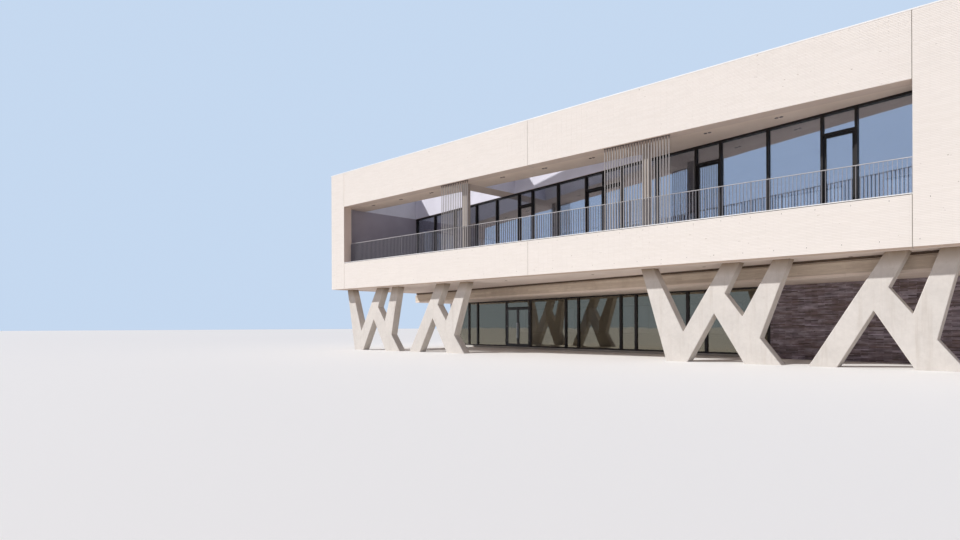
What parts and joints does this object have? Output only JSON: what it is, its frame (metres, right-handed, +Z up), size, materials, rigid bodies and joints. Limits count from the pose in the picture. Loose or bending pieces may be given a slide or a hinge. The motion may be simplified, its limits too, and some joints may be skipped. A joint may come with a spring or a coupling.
{
  "type": "school building",
  "caption": "Flat-roofed school: upper storey with a deep loggia behind a skewed white brick front wall, on zig-zag concrete supports over a set-back glazed ground floor with glass doors.",
  "frame": {"origin": "on the ground under the middle of the plan's box", "axes": "+X along the back wall to the right, +Y into the building away from the front wall, +Z up"},
  "size_m": [34.82, 16.0328, 11.09],
  "materials": {
    "white_brick": "long pale bricks, matte",
    "dark_brick": "long dark bricks, matte",
    "support_concrete": "smooth cast concrete, matte",
    "board_concrete": "board-marked cast concrete, matte",
    "floor_concrete": "floated concrete, matte",
    "soffit_plaster": "painted plaster, matte",
    "frame_metal": "dark satin powder coat",
    "light_metal": "light satin powder coat",
    "coping_metal": "satin",
    "window_glass": "clear glazing",
    "joint_filler": "elastic joint filling, matte"
  },
  "bodies": {
    "root": {"ground_slab": "floor_concrete", "ground_end_wall_left": "dark_brick", "ground_end_wall_right": "dark_brick", "ground_back_wall": "dark_brick", "ground_back_frames": "frame_metal", "ground_back_glass": "window_glass", "ground_brick_wall": "dark_brick", "ground_frames": "frame_metal", "ground_glass": "window_glass", "door_frame": "frame_metal", "concrete_band": "board_concrete", "ground_ceiling": "soffit_plaster", "support_1": "support_concrete", "support_2": "support_concrete", "support_3": "support_concrete", "support_4": "support_concrete", "soffit_slab": "soffit_plaster", "floor_beams": "floor_concrete", "upper_floor": "floor_concrete", "front_pier": "white_brick", "upper_band_left": "white_brick", "upper_band_right": "white_brick", "lower_band_left": "white_brick", "lower_band_right": "white_brick", "band_sill": "coping_metal", "front_wall_right": "white_brick", "movement_joints": "joint_filler", "end_wall_left": "white_brick", "end_wall_right": "white_brick", "back_wall": "white_brick", "upper_window_frames": "frame_metal", "upper_window_glass": "window_glass", "window_sills": "coping_metal", "upper_glazing_frames": "frame_metal", "upper_glazing_glass": "window_glass", "wall_over_glazing": "white_brick", "cross_beams": "white_brick", "slim_columns": "support_concrete", "loggia_ceiling_strips": "soffit_plaster", "loggia_roof": "soffit_plaster", "upper_ceiling": "soffit_plaster", "roof_slab": "floor_concrete", "roof_coping": "coping_metal", "railing": "light_metal", "rod_screens": "light_metal"},
    "left_leaf": {"door_leaf_left": "frame_metal", "door_glass_left": "window_glass"},
    "right_leaf": {"door_leaf_right": "frame_metal", "door_glass_right": "window_glass"}
  },
  "joints": [
    {"name": "left_leaf_hinge", "type": "hinge", "parent": "root", "child": "left_leaf", "pos_m": [-10.992, 1.3592, 0], "axis": [0, 0, -1], "range_deg": [0, 90]},
    {"name": "right_leaf_hinge", "type": "hinge", "parent": "root", "child": "right_leaf", "pos_m": [-8.968, 1.3592, 0], "axis": [0, 0, 1], "range_deg": [0, 90]}
  ]
}
